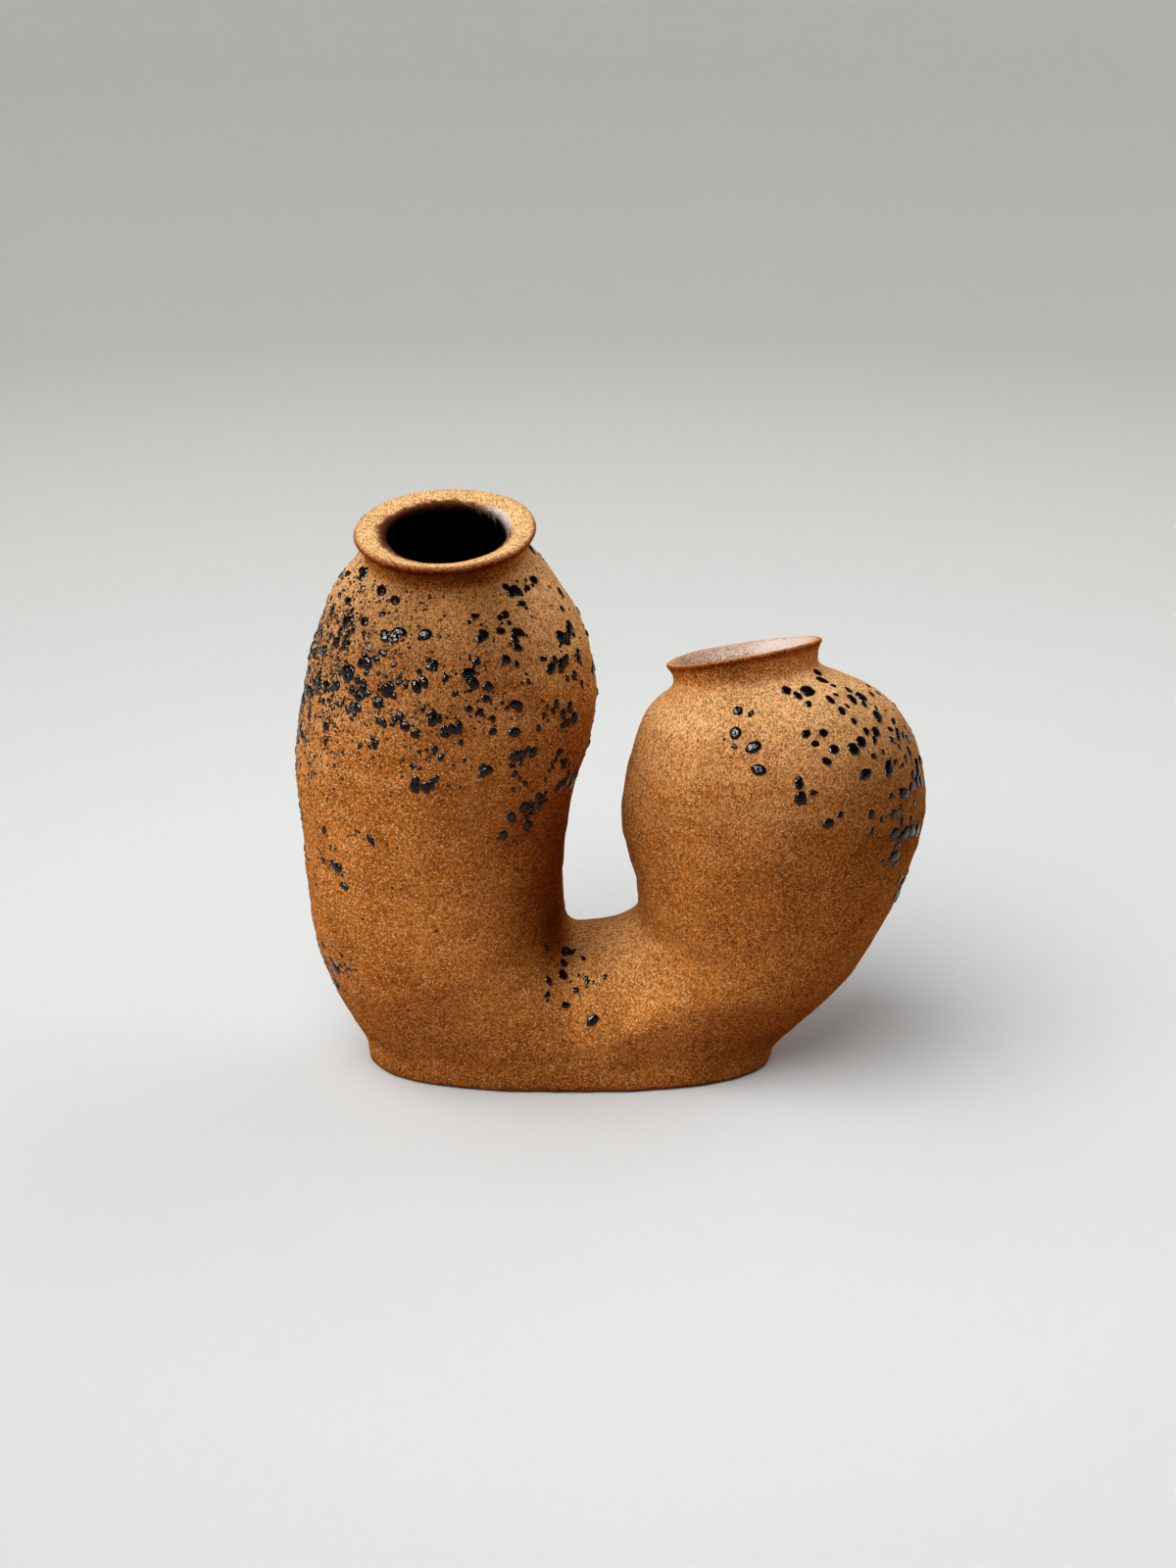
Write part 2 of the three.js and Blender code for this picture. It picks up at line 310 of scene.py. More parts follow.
def fired_clay(tree, place, facing):
    """Uneven clay, with painted top light where the pot faces up and stands high."""
    drawn_up = add_node(tree, "ShaderNodeVectorMath", {0: place, 1: FLAME_DRAW}, operation="MULTIPLY")
    patches = add_node(tree, "ShaderNodeTexNoise", {
        "Vector": drawn_up.outputs[0], "Scale": 1 / (CLAY_PATCH * MM), "Detail": 4.0, "Roughness": 0.6,
    })
    uneven = add_node(tree, "ShaderNodeValToRGB", {0: patches.outputs[0]}, ramp=CLAY_TONES)
    upward, height = (
        add_node(tree, "ShaderNodeSeparateXYZ", {0: vector}).outputs["Z"] for vector in (facing, place)
    )
    top_light_by_height = add_node(tree, "ShaderNodeMapRange", {
        "Value": height, "From Min": TOP_LIGHT_FROM * MM, "From Max": TOP_LIGHT_TO * MM,
    })
    # painted top light: faces that look up are mixed toward the pale tone, more the higher they stand
    top_light_share = add_node(tree, "ShaderNodeMapRange", {"Value": upward, "To Max": top_light_by_height.outputs[0]})
    painted_top_light = add_node(tree, "ShaderNodeMix", {
        0: top_light_share.outputs[0], MIX_A: uneven.outputs[0], MIX_B: linear(PAINTED_TOP_LIGHT_TONE),
    }, data_type="RGBA")
    return painted_top_light.outputs[MIX_OUT]


def painted_shade_and_edges(tree, colour):
    """The clay's colour with its grains, made darker by painted shade in patches and tinted redder and
    darker on the edges, partly as painted shade.
    """
    for label, hex_colour in SHADE_AND_EDGE_TINTS.items():
        number = add_node(tree, "ShaderNodeAttribute", attribute_name=label).outputs["Fac"]
        colour = add_node(tree, "ShaderNodeMix", {
            0: number, MIX_A: colour, MIX_B: linear(hex_colour),
        }, data_type="RGBA", blend_type="MULTIPLY").outputs[MIX_OUT]
    return colour


print("fired from", " to ".join(tone for _, tone in CLAY_TONES), "and bleached to", PAINTED_TOP_LIGHT_TONE)

# %% Grogged stoneware: the grit
GRAIN = 0.55  # mm, spacing of the grog
SAND = 0.3  # mm, the fine grit between the grains
IRON_SPACING = 11  # mm
GRAIN_ENDS, GRAIN_WHOLE = 0.62, 0.48  # distances from the middle of a cell, as shares of the spacing
PIN_ENDS, PIN_WHOLE = 0.065, 0.04


def grog(tree, place, colour):
    """Sand, pale grains, pits, painted glints and iron pins over a colour, and the height of sand and
    grains.
    """
    sand = add_node(tree, "ShaderNodeTexNoise", {
        "Vector": place, "Scale": 1 / (SAND * MM), "Detail": 2.0, "Roughness": 0.7,
    })
    cell = add_node(tree, "ShaderNodeTexVoronoi", {"Vector": place, "Scale": 1 / (GRAIN * MM)})
    lots = add_node(tree, "ShaderNodeSeparateColor", {0: cell.outputs["Color"]}).outputs
    tones = (
        # which number, where it is darkest and brightest, and how bright the clay is there
        (sand.outputs[0], 0.3, 0.7, 0.6, 1.4),
        (lots[2], 0.0, 1.0, 0.4, 1.6),
    )
    for number, dark_at, bright_at, darkest, brightest in tones:
        tone = add_node(tree, "ShaderNodeMapRange", {
            "Value": number, "From Min": dark_at, "From Max": bright_at,
            "To Min": darkest, "To Max": brightest,
        })
        colour = add_node(tree, "ShaderNodeHueSaturation", {
            "Color": colour, "Value": tone.outputs[0],
        }).outputs[0]
    core = add_node(tree, "ShaderNodeMapRange", {
        "Value": cell.outputs["Distance"], "From Min": GRAIN_ENDS, "From Max": GRAIN_WHOLE,
    })
    pin_cell = add_node(tree, "ShaderNodeTexVoronoi", {"Vector": place, "Scale": 1 / (IRON_SPACING * MM)})
    pin_core = add_node(tree, "ShaderNodeMapRange", {
        "Value": pin_cell.outputs["Distance"], "From Min": PIN_ENDS, "From Max": PIN_WHOLE,
    })
    pin_lot = add_node(tree, "ShaderNodeSeparateColor", {0: pin_cell.outputs["Color"]}).outputs[0]
    kinds = (
        # which number, from where to where it is chosen, its spot, how strong and its colour:
        # pale grains, pits, painted glints (bright specks for the grit's sparkle) and iron pins
        (lots[0], 0.84, 0.92, core, 0.5, "f0bc70"),
        (lots[0], 0.1, 0.05, core, 0.6, "2a1005"),
        # painted glints: bright specks laid into the colour for the sparkle of the grit
        (lots[1], 0.88, 0.9, core, 1.0, "ffd698"),
        (pin_lot, 0.5, 0.6, pin_core, 0.9, "1c110c"),
    )
    for number, chosen_from, chosen_to, spot, strength, hex_colour in kinds:
        chosen = add_node(tree, "ShaderNodeMapRange", {
            "Value": number, "From Min": chosen_from, "From Max": chosen_to, "To Max": strength,
        })
        shown = add_node(tree, "ShaderNodeMath", {
            0: chosen.outputs[0], 1: spot.outputs[0],
        }, operation="MULTIPLY")
        colour = add_node(tree, "ShaderNodeMix", {
            0: shown.outputs[0], MIX_A: colour, MIX_B: linear(hex_colour),
        }, data_type="RGBA").outputs[MIX_OUT]
    height = add_node(tree, "ShaderNodeMath", {
        0: sand.outputs[0], 1: cell.outputs["Distance"],
    }, operation="SUBTRACT")
    return colour, height.outputs[0]


print("grains to a centimetre:", round(10 / GRAIN, 1), "- sand to a centimetre:", round(10 / SAND, 1))

# %% [markdown]
# ## The glaze lining
# Inside the mouths lies a thin glaze over the clay, brown where it is thinnest and pinkish
# white where it pooled, broken by the grog, with a satin gloss. Further down, the shade in the
# throat is painted in as near-black colour. The lining numbers on the points say where, and a
# noise frays the edges of both, as a poured glaze ends on rough clay.

# %% Glaze lining over the clay
LINING_FRAY = 2.5  # mm
LINING_POOL = 15  # mm
LINING_MOTTLE = 0.8  # mm
MOTTLE_WEIGHT, UNEVENNESS = 2.2, 0.6  # mottle beside the pools, and both beside what was poured
THINNEST, THICKEST = 0.85, 2.05  # sums of the three at which the tones begin and end
LINING_TONES = ((0.15, "6a361c"), (0.5, "b08468"), (0.8, "ecd6cc"))
# painted shade: the dark inside the throat, laid on as colour
PAINTED_THROAT_SHADE = "050302"


def glaze_lining(tree, place, clay):
    """The lining and the throat's painted shade over the clay's colour, and how much of the lining's pale
    part shows.
    """
    lining_number, throat_shade_number, poured_number = (
        add_node(tree, "ShaderNodeAttribute", attribute_name=label).outputs["Fac"]
        for label in ("lining", "deep", "poured")
    )
    fray, pool, mottle = (
        add_node(tree, "ShaderNodeTexNoise", {
            "Vector": place, "Scale": 1 / (spacing * MM), "Detail": 2.0,
        }).outputs[0]
        for spacing in (LINING_FRAY, LINING_POOL, LINING_MOTTLE)
    )
    layers = []
    for number, swing, begins, whole in (
        # which number, how far it is frayed, and where its layer begins and is whole
        (lining_number, 0.45, 0.35, 0.7),
        (throat_shade_number, 0.2, 0.15, 0.85),
    ):
        uneven = add_node(tree, "ShaderNodeMapRange", {"Value": fray, "To Min": -swing, "To Max": swing})
        frayed = add_node(tree, "ShaderNodeMath", {0: number, 1: uneven.outputs[0]})
        layers.append(add_node(tree, "ShaderNodeMapRange", {
            "Value": frayed.outputs[0], "From Min": begins, "From Max": whole,
        }).outputs[0])
    pooled = add_node(tree, "ShaderNodeMath", {
        0: mottle, 1: MOTTLE_WEIGHT, 2: pool,
    }, operation="MULTIPLY_ADD")
    thickness = add_node(tree, "ShaderNodeMath", {
        0: pooled.outputs[0], 1: UNEVENNESS, 2: poured_number,
    }, operation="MULTIPLY_ADD")
    thick_share = add_node(tree, "ShaderNodeMapRange", {
        "Value": thickness.outputs[0], "From Min": THINNEST, "From Max": THICKEST,
    })
    pinkish = add_node(tree, "ShaderNodeValToRGB", {0: thick_share.outputs[0]}, ramp=LINING_TONES).outputs[0]
    colour = clay
    for shown, glaze in zip(layers, (pinkish, linear(PAINTED_THROAT_SHADE))):
        colour = add_node(tree, "ShaderNodeMix", {
            0: shown, MIX_A: colour, MIX_B: glaze,
        }, data_type="RGBA").outputs[MIX_OUT]
    pale_shown = add_node(tree, "ShaderNodeMath", {
        0: layers[0], 1: layers[1],
    }, operation="SUBTRACT", use_clamp=True)
    return colour, pale_shown.outputs[0]


print("lining from", " to ".join(tone for _, tone in LINING_TONES))

# %% The finished clay
GRAIN_RISE = 0.4  # mm
MATT, SATIN = 1.0, 0.6  # roughness of the bare clay and of the lining
LINING_MIRROR = 0.2  # specular level; bare clay is too rough to mirror anything


def stoneware(name):
    """Bare grogged clay with the glaze lining where the points' numbers put it."""
    material, tree, shader = new_material(name)
    where = add_node(tree, "ShaderNodeTexCoord").outputs
    clay, height = grog(tree, where["Object"], fired_clay(tree, where["Object"], where["Normal"]))
    colour, lining_shown = glaze_lining(tree, where["Object"], painted_shade_and_edges(tree, clay))
    gloss = add_node(tree, "ShaderNodeMapRange", {"Value": lining_shown, "To Min": MATT, "To Max": SATIN})
    mirror = add_node(tree, "ShaderNodeMath", {0: lining_shown, 1: LINING_MIRROR}, operation="MULTIPLY")
    bump = add_node(tree, "ShaderNodeBump", {
        "Height": height, "Distance": GRAIN_RISE * MM, "Strength": 1.0,
    })
    set_inputs(tree, shader, {
        "Base Color": colour, "Roughness": gloss.outputs[0],
        "Specular IOR Level": mirror.outputs[0], "Normal": bump.outputs[0],
    })
    return material


clay_finish = stoneware("toasted grogged stoneware")
print(clay_finish.name, "has", len(clay_finish.node_tree.nodes), "nodes")

# %% [markdown]
# ## A surface shaped by hands
# Pinched and paddled clay is never true: it has broad lumps from the paddle and shallow marks
# from fingers that were drawn round the wall. A Geometry Nodes tree rounds the welded skin by
# subdivision and then moves its walls in and out by two noises. The marks' noise is squeezed in
# height, so that they lie level, as the turning of the pot leaves them. Near the floor the
# movement dies away, so that the foot still stands flat. A third noise lifts and lowers the
# lips, which the lumps leave alone, and a fourth roughens the foot's lower edge, where the slab
# was cut and not smoothed. Before that the joint over the foot is blurred, as a thumb smears
# slip into it. The inside moves the same way as the outside, so that the wall keeps its
# thickness. The tree also keeps each face's material number as the number of its solid,
# because it ends by giving the whole skin one material.


# %% A tree with named inputs, and how to run it
def new_tree(name, inputs):
    """A Geometry Nodes tree with a mesh going in and out, and the named inputs."""
    tree = bpy.data.node_groups.new(name, "GeometryNodeTree")
    tree.interface.new_socket("Geometry", in_out="INPUT", socket_type="NodeSocketGeometry")
    for label, kind in inputs.items():
        tree.interface.new_socket(label, in_out="INPUT", socket_type=f"NodeSocket{kind}")
    tree.interface.new_socket("Geometry", in_out="OUTPUT", socket_type="NodeSocketGeometry")
    return tree


def run_tree(tree, source, values):
    """Runs a tree on an object and returns the result as a plain mesh."""
    modifier = source.modifiers.new(tree.name, "NODES")
    modifier.node_group = tree
    for item in tree.interface.items_tree:
        if item.in_out == "INPUT" and item.name in values:
            modifier[item.identifier] = values[item.name]
    evaluated = source.evaluated_get(bpy.context.evaluated_depsgraph_get())
    mesh = bpy.data.meshes.new_from_object(evaluated)
    source.modifiers.remove(modifier)
    return mesh


# %% Build the hand-shaping tree
WAVES = ("Lump", "Mark", "Lip", "Cut")
shaping = new_tree("Hand shaping", {
    "Finish": "Material", "Levels": "Int", "Still height": "Float", "Seed": "Float",
    "Joint height": "Float", "Slip reach": "Float", "Slip rounds": "Int",
    **{f"{wave} {measure}": "Float" for wave in WAVES for measure in ("height", "size")},
})
given = add_node(shaping, "NodeGroupInput").outputs
place = add_node(shaping, "GeometryNodeInputPosition").outputs[0]
solid_number = add_node(shaping, "GeometryNodeInputMaterialIndex").outputs[0]
numbered = add_node(shaping, "GeometryNodeStoreNamedAttribute", {
    "Geometry": given["Geometry"], "Name": "solid", "Value": solid_number,
}, data_type="INT", domain="FACE")
rounded = add_node(shaping, "GeometryNodeSubdivisionSurface", {
    "Mesh": numbered.outputs[0], "Level": given["Levels"],
})
upwards = add_node(shaping, "ShaderNodeSeparateXYZ", {0: place}).outputs["Z"]
from_joint = add_node(shaping, "ShaderNodeMath", {
    0: upwards, 1: given["Joint height"],
}, operation="SUBTRACT")
off_joint = add_node(shaping, "ShaderNodeMath", {0: from_joint.outputs[0]}, operation="ABSOLUTE")
slip = add_node(shaping, "ShaderNodeMapRange", {
    "Value": off_joint.outputs[0], "From Max": given["Slip reach"], "To Min": 1.0, "To Max": 0.0,
})
smeared = add_node(shaping, "GeometryNodeBlurAttribute", {
    "Value": place, "Iterations": given["Slip rounds"], "Weight": slip.outputs[0],
}, data_type="FLOAT_VECTOR")
slipped = add_node(shaping, "GeometryNodeSetPosition", {
    "Geometry": rounded.outputs[0], "Position": smeared.outputs[0],
})
print(len(shaping.nodes), "nodes round the skin and smear the foot's joint")

# %% Make the waves
MARK_SQUEEZE = (1, 1, 2.6)
NOISE_LOW, NOISE_HIGH = 0.2, 0.8  # what the noise seldom passes
level_place = add_node(shaping, "ShaderNodeVectorMath", {
    0: place, 1: MARK_SQUEEZE,
}, operation="MULTIPLY").outputs[0]
moves = {}
for wave in WAVES:
    scale = add_node(shaping, "ShaderNodeMath", {0: 1.0, 1: given[f"{wave} size"]}, operation="DIVIDE")
    noise = add_node(shaping, "ShaderNodeTexNoise", {
        "Vector": level_place if wave == "Mark" else place, "W": given["Seed"], "Scale": scale.outputs[0],
        "Detail": 1.0,
    }, noise_dimensions="4D")
    signed = add_node(shaping, "ShaderNodeMapRange", {
        "Value": noise.outputs[0], "From Min": NOISE_LOW, "From Max": NOISE_HIGH,
        "To Min": -1.0, "To Max": 1.0,
    })
    moves[wave] = add_node(shaping, "ShaderNodeMath", {
        0: signed.outputs[0], 1: given[f"{wave} height"],
    }, operation="MULTIPLY").outputs[0]
print(len(shaping.nodes), "nodes make the waves")

# %% Let the waves move the skin
edge_here, lip_here, inner_here = (
    add_node(shaping, "GeometryNodeInputNamedAttribute", {"Name": label}, data_type="FLOAT").outputs[0]
    for label in ("edge", "lip", "inner")
)
normal = add_node(shaping, "GeometryNodeInputNormal").outputs[0]
free = add_node(shaping, "ShaderNodeMapRange", {
    "Value": upwards, "From Max": given["Still height"],
}).outputs[0]
held, off_lip = (
    add_node(shaping, "ShaderNodeMath", {0: 1.0, 1: value}, operation="SUBTRACT").outputs[0]
    for value in (free, lip_here)
)
same_way = add_node(shaping, "ShaderNodeMapRange", {
    "Value": inner_here, "To Min": 1.0, "To Max": -1.0,
}).outputs[0]
wall_move = add_node(shaping, "ShaderNodeMath", {0: moves["Lump"], 1: moves["Mark"]}).outputs[0]
level_normal = add_node(shaping, "ShaderNodeVectorMath", {
    0: normal, 1: (1, 1, 0),
}, operation="MULTIPLY").outputs[0]
skin_now = slipped.outputs[0]
for distance, holds, way in (
    (wall_move, (free, off_lip, same_way), normal),
    (moves["Lip"], (lip_here,), (0, 0, 1)),
    (moves["Cut"], (edge_here, held), level_normal),
):
    for hold in holds:
        distance = add_node(shaping, "ShaderNodeMath", {
            0: distance, 1: hold,
        }, operation="MULTIPLY").outputs[0]
    offset = add_node(shaping, "ShaderNodeVectorMath", {0: way, "Scale": distance}, operation="SCALE")
    skin_now = add_node(shaping, "GeometryNodeSetPosition", {
        "Geometry": skin_now, "Offset": offset.outputs[0],
    }).outputs[0]
one_mesh = add_node(shaping, "GeometryNodeRealizeInstances", {"Geometry": skin_now})
finished = add_node(shaping, "GeometryNodeSetMaterial", {
    "Geometry": one_mesh.outputs[0], "Material": given["Finish"],
})
add_node(shaping, "NodeGroupOutput", {0: finished.outputs[0]})
print(len(shaping.nodes), "nodes in the shaping tree")

# %% Shape the skin
welded_mesh = bpy.data.meshes.new("welded_skin")
welded.to_mesh(welded_mesh)
welded.free()
for _ in node_names:
    welded_mesh.materials.append(None)
workpiece = add_object("workpiece", welded_mesh)
skin = run_tree(shaping, workpiece, {
    "Finish": clay_finish, "Levels": 2, "Still height": 9 * MM, "Seed": 3.7,
    "Joint height": 9 * MM, "Slip reach": 8 * MM, "Slip rounds": 12,
    "Lump height": 2.0 * MM, "Lump size": 42 * MM, "Mark height": 0.5 * MM, "Mark size": 17 * MM,
    "Lip height": 0.5 * MM, "Lip size": 30 * MM, "Cut height": 1.1 * MM, "Cut size": 9 * MM,
})
bpy.data.objects.remove(workpiece)
print(len(skin.vertices), "points,", len(skin.polygons), "faces on the shaped skin")

# %% Read the skin as arrays
points = np.empty(len(skin.vertices) * 3)
skin.vertices.foreach_get("co", points)
points = points.reshape(-1, 3)
normals = np.array([vertex.normal for vertex in skin.vertices])
corners = np.empty(len(skin.loops), int)
skin.loops.foreach_get("vertex_index", corners)
faces = corners.reshape(-1, 4)
face_owner = np.empty(len(faces), int)
skin.attributes["solid"].data.foreach_get("value", face_owner)
marks = {label: np.empty(len(points)) for label in ("lining", "deep", "poured", "edge")}
for label, numbers in marks.items():
    skin.attributes[label].data.foreach_get("value", numbers)
print("skin box in mm:", (points.min(0) / MM).round(1), (points.max(0) / MM).round(1))

# %% [markdown]
# ## Patches of painted shade
# Shade is painted into the clay's colour as darker patches: between the arms, under both rims,
# on the tall jar's shoulder, on the bellies, and darker towards the bottom all along the foot. A
# patch is written as a place on a jar, by the turn from the front and the height, with its
# spread and how dark it is. The same way of writing places serves for the glaze later. Together
# the patches make one more number for the material, which paints this shade.

# %% Places on the jars, and the patches of painted shade
JARS = ("left", "right")
TURN_UNIT, HEIGHT_UNIT = 5, 4  # degrees and mm that count alike when a place's middle is sought
# painted shade: darker patches where shade falls between the arms, under the rims and on the bellies
PAINTED_SHADE_PATCHES = (
    # jar, turn in degrees, height and spread in mm, how dark
    ("left", 66, 88, 18, 0.62),
    ("left", 66, 56, 12, 0.9),
    ("left", 38, 176, 14, 0.5),
    ("left", -14, 196, 10, 0.5),
    ("left", 28, 196, 10, 0.5),
    ("left", -52, 178, 16, 0.4),
    ("left", -6, 172, 20, 0.5),
    ("left", 18, 134, 20, 0.3),
    ("right", -20, 103, 22, 0.4),
    ("right", 34, 112, 22, 0.5),
    ("right", 70, 112, 22, 0.5),
    ("right", -36, 160, 8, 0.6),
    ("right", -68, 104, 12, 0.2),
    ("right", -30, 52, 18, 0.2),
)
# painted shade along the foot, darker towards the bottom
FOOT_PAINTED_SHADE = 0.35
FOOT_SHADE_FROM, FOOT_SHADE_TO = 32, 14  # mm above the floor
points_of = {name: np.unique(faces[face_owner == number]) for number, name in enumerate(node_names)}
bare = marks["lining"] == 0
on_rim, on_hip = np.zeros((2, len(points)), bool)
on_jar = {jar: np.zeros(len(points), bool) for jar in JARS}
for name, numbers in points_of.items():
    on_rim[numbers] |= name in RIMS
    on_hip[numbers] |= name.endswith("hip")
    for jar in JARS:
        on_jar[jar][numbers] |= name.startswith(jar)


def patch(jar, turn, height, spread):
    """How near each point of the bare skin is to a place on a jar's outside, 1 at its middle."""
    low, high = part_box(f"{jar}_belly")
    turned = np.degrees(np.arctan2(points[:, 0] - (low.x + high.x) / 2, -points[:, 1]))
    off_turn = ((turned - turn + 180) % 360 - 180) / TURN_UNIT
    off_height = (points[:, 2] / MM - height) / HEIGHT_UNIT
    middle = points[np.argmin(np.where(bare & on_jar[jar], off_turn ** 2 + off_height ** 2, np.inf))]
    away = np.linalg.norm(points - middle, axis=1) / MM
    return np.where(bare, np.exp(-((away / spread) ** 2) / 2), 0)


near_foot = (points[:, 2] / MM - FOOT_SHADE_FROM) / (FOOT_SHADE_TO - FOOT_SHADE_FROM)
# painted shade: one number that darkens the colour in the patches and towards the bottom of the foot
marks["toast"] = FOOT_PAINTED_SHADE * near_foot.clip(0, 1) + sum(dark * patch(*spot) for *spot, dark in PAINTED_SHADE_PATCHES)
print("darkest toast:", round(marks["toast"].max(), 2))

# %% [markdown]
# ## Back to pieces
# The vase is still an assembly, so the skin is cut back into one piece for each solid. A piece
# takes its solid's faces and closes the cut ends with a band of flat faces between the outer
# and the inner edge. The points keep the normals of the uncut skin, so light runs over the
# cuts as if they weren't there, as it does over slipped joints.


# %% Cut the skin into closed pieces
def edge_loops(piece_faces):
    """The open edges of some faces, as closed lists of points in the faces' own direction."""
    steps = [tuple(edge) for k in range(4) for edge in piece_faces[:, [k, (k + 1) % 4]]]
    there = set(steps)
    following = {a: b for a, b in steps if (b, a) not in there}
    loops = []
    while following:
        loop = [next(iter(following))]
        while loop[-1] in following:
            loop.append(following.pop(loop[-1]))
        loops.append(loop[:-1])
    return loops


def end_band(outer, inner):
    """Faces that close the end of a wall between its outer and its inner edge."""
    inner = inner[::-1]
    nearest = min(range(len(inner)), key=lambda i: np.linalg.norm(points[inner[i]] - points[outer[0]]))
    inner = inner[nearest:] + inner[:nearest]
    count = len(outer)
    return [(outer[(i + 1) % count], outer[i], inner[i], inner[(i + 1) % count]) for i in range(count)]


def cut_piece(number, name):
    """The closed mesh of one piece, with the skin's normals and its numbers."""
    wall_faces = faces[face_owner == number]
    loops = sorted(edge_loops(wall_faces), key=lambda loop: points[loop][:, 2].mean())
    bands = [face for pair in zip(loops[::2], loops[1::2]) for face in end_band(*pair)]
    all_faces = np.vstack([wall_faces, np.array(bands)])
    used, local = np.unique(all_faces, return_inverse=True)
    mesh = bpy.data.meshes.new(name)
    mesh.from_pydata(points[used].tolist(), [], local.reshape(-1, 4).tolist())
    mesh.shade_smooth()
    for label, numbers in marks.items():
        mesh.attributes.new(label, "FLOAT", "POINT").data.foreach_set("value", numbers[used])
    shading = normals[all_faces]
    flat = np.empty(len(all_faces) * 3)
    mesh.polygons.foreach_get("normal", flat)
    shading[len(wall_faces):] = flat.reshape(-1, 1, 3)[len(wall_faces):]
    mesh.normals_split_custom_set(shading.reshape(-1, 3).tolist())
    return mesh


clay_pieces = {}
for number, name in enumerate(node_names):
    clay = add_object(f"{name}_clay", cut_piece(number, f"{name}_clay"))
    clay.data.materials.append(clay_finish)
    clay_pieces[name] = clay
    print(clay.name, len(clay.data.polygons), "faces")

# %% [markdown]
# ## Black glaze, flicked on
# The drops on the shoulders are a manganese-black glaze that was flicked from a brush. It is
# thick and stiff, so the drops are puddles with steep, round edges that run into each other
# and keep small pits where bubbles broke. The surface is glossy, so each puddle mirrors the
# window in a pale spot and is near black around it, with a violet cast.

# %% Manganese-black glaze
GLAZE_CLOUD = 2.2  # mm
GLAZE_TONES = ((0.4, "040203"), (0.75, "140c10"))
GLOSSIEST, DULLEST = 0.03, 0.12  # roughness
GLAZE_IOR = 1.55
GLAZE_MIRROR = 0.22  # specular level, below the usual half, because pits scatter what it mirrors
PIT_SPACING = 0.9  # mm
PIT_DEPTH = 0.5  # mm
PIT_STRENGTH = 0.7


def black_glaze(name):
    """Near-black, glossy glaze with small pits."""
    material, tree, shader = new_material(name)
    place = add_node(tree, "ShaderNodeTexCoord").outputs["Object"]
    cloud = add_node(tree, "ShaderNodeTexNoise", {
        "Vector": place, "Scale": 1 / (GLAZE_CLOUD * MM), "Detail": 3.0,
    })
    tint = add_node(tree, "ShaderNodeValToRGB", {0: cloud.outputs[0]}, ramp=GLAZE_TONES)
    gloss = add_node(tree, "ShaderNodeMapRange", {
        "Value": cloud.outputs[0], "To Min": GLOSSIEST, "To Max": DULLEST,
    })
    pits = add_node(tree, "ShaderNodeTexNoise", {
        "Vector": place, "Scale": 1 / (PIT_SPACING * MM), "Detail": 2.0,
    })
    bump = add_node(tree, "ShaderNodeBump", {
        "Height": pits.outputs[0], "Distance": PIT_DEPTH * MM, "Strength": PIT_STRENGTH,
    })
    set_inputs(tree, shader, {
        "Base Color": tint.outputs[0], "Roughness": gloss.outputs[0], "Normal": bump.outputs[0],
        "IOR": GLAZE_IOR, "Specular IOR Level": GLAZE_MIRROR,
    })
    return material


drop_finish = black_glaze("manganese-black glaze")
print(drop_finish.name, "has", len(drop_finish.node_tree.nodes), "nodes")

# %% [markdown]
# ## Where the glaze was thrown
# Each flick of the brush leaves a loose patch of drops with finer spray around it. A throw is
# written as the place that it hit, by the jar, the turn round the jar from the front and the
# height, with its spread and how much landed there. Their sum gives each point of the outer
# skin two numbers, for drops and for spray, in counts to the square centimetre. A throw stays
# on its own jar, apart from the hips, where the jars run into each other.

# %% Weigh the throws
THROWS = (
    # jar, turn in degrees, height and spread in mm, drops and spray to the square cm
    ("left", -64, 166, 19, 5, 90),
    ("left", -72, 140, 16, 3, 50),
    ("left", -40, 172, 14, 5, 36),
    ("left", -18, 168, 14, 4, 18),
    ("left", -8, 148, 14, 5, 8),
    ("left", 20, 158, 14, 5, 6),
    ("left", 50, 178, 12, 6, 4),
    ("left", 62, 158, 14, 7, 4),
    ("left", 56, 132, 14, 7, 3),
    ("left", 34, 114, 9, 6, 1),
    ("left", -76, 104, 20, 2, 20),
    ("left", -52, 92, 6, 4, 3),
    ("left", -62, 46, 9, 4, 60),
    ("left", 150, 160, 30, 5, 8),
    ("left", -125, 152, 24, 6, 60),
    ("left", 64, 42, 7, 12, 2),
    ("right", -23, 138, 3, 60, 4),
    ("right", -14, 130, 2.4, 60, 1),
    ("right", 7, 123, 2.4, 60, 1),
    ("right", 20, 115, 2.2, 60, 1),
    ("right", 17, 138, 3, 60, 2),
    ("right", -19, 146, 2.4, 60, 1),
    ("right", 8, 153, 2.6, 60, 1),
    ("right", 17, 150, 2.4, 60, 1),
    ("right", 58, 152, 3, 60, 1),
    ("right", 40, 148, 2.8, 60, 1),
    ("right", 52, 148, 4, 60, 1),
    ("right", 47, 136, 4, 60, 2),
    ("right", 66, 138, 7, 40, 2),
    ("right", 40, 127, 2, 50, 2),
    ("right", 40, 107, 2.2, 60, 1),
    ("right", 56, 106, 6, 30, 3),
    ("right", 56, 92, 5, 30, 2),
    ("right", 72, 122, 9, 30, 3),
    ("right", 76, 76, 5, 24, 2),
    ("right", 120, 128, 22, 5, 3),
)
SQUARE_CM = 1e-4  # in square metres
rates = {f"{jar}_{kind}": np.zeros(len(points)) for jar in JARS for kind in ("drops", "spray")}
for jar, turn, height, spread, drops, spray in THROWS:
    hit = np.where((on_jar[jar] | on_hip) & ~on_rim, patch(jar, turn, height, spread), 0)
    rates[f"{jar}_drops"] += drops * hit
    rates[f"{jar}_spray"] += spray * hit
